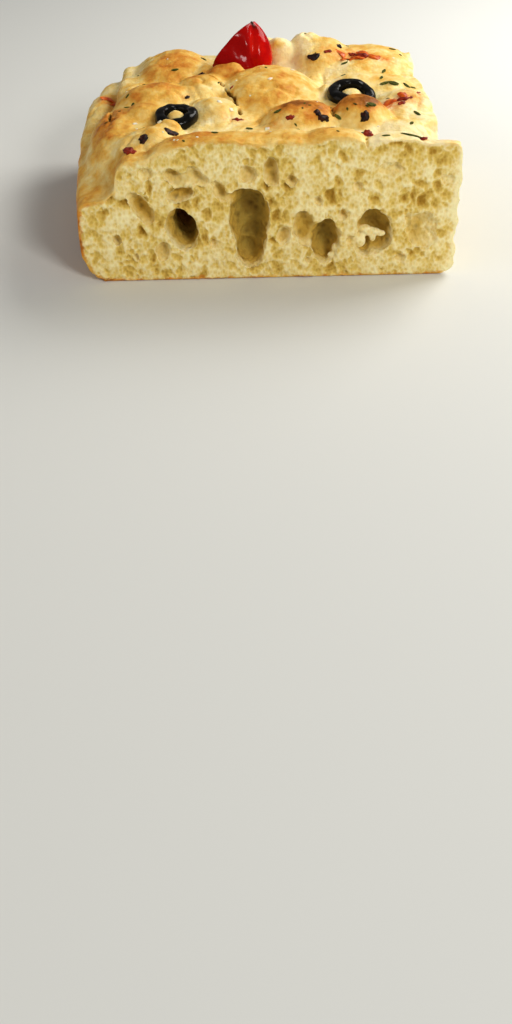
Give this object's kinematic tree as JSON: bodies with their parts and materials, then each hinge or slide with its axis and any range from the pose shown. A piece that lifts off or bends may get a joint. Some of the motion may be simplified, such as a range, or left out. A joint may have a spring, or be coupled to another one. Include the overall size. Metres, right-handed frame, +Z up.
{
  "type": "focaccia slice",
  "caption": "Rectangular slice of tray-baked focaccia: domed golden crust over open crumb at its cut sides, topped with black olive rings, a roasted cherry tomato half, herbs and chilli.",
  "frame": {"origin": "centre of the bounding box at the flat base", "axes": "+X to the right as seen from the front cut face, from the tray-side crust to the opposite cut; +Y from the front cut to the back cut; +Z up"},
  "size_m": [0.1174, 0.09, 0.0571],
  "materials": {
    "baked_dough": "baked crust, golden and slightly oily, over a matt cream crumb",
    "black_olive": "moist black olive flesh, glossy skin",
    "roasted_tomato": "wrinkled roasted tomato skin, wet gloss",
    "chilli_flake": "dried chilli, dark brown-red, slightly glossy",
    "dried_herb": "dried rosemary and oregano, matt olive green",
    "pepper_shred": "baked shreds of tomato skin and pepper, orange, oily",
    "coarse_salt": "coarse salt crystals, whitish and translucent"
  },
  "bodies": {
    "root": {"focaccia_slice": "baked_dough", "olive_ring_front": "black_olive", "olive_ring_back": "black_olive", "tomato_half": "roasted_tomato"}
  },
  "joints": []
}
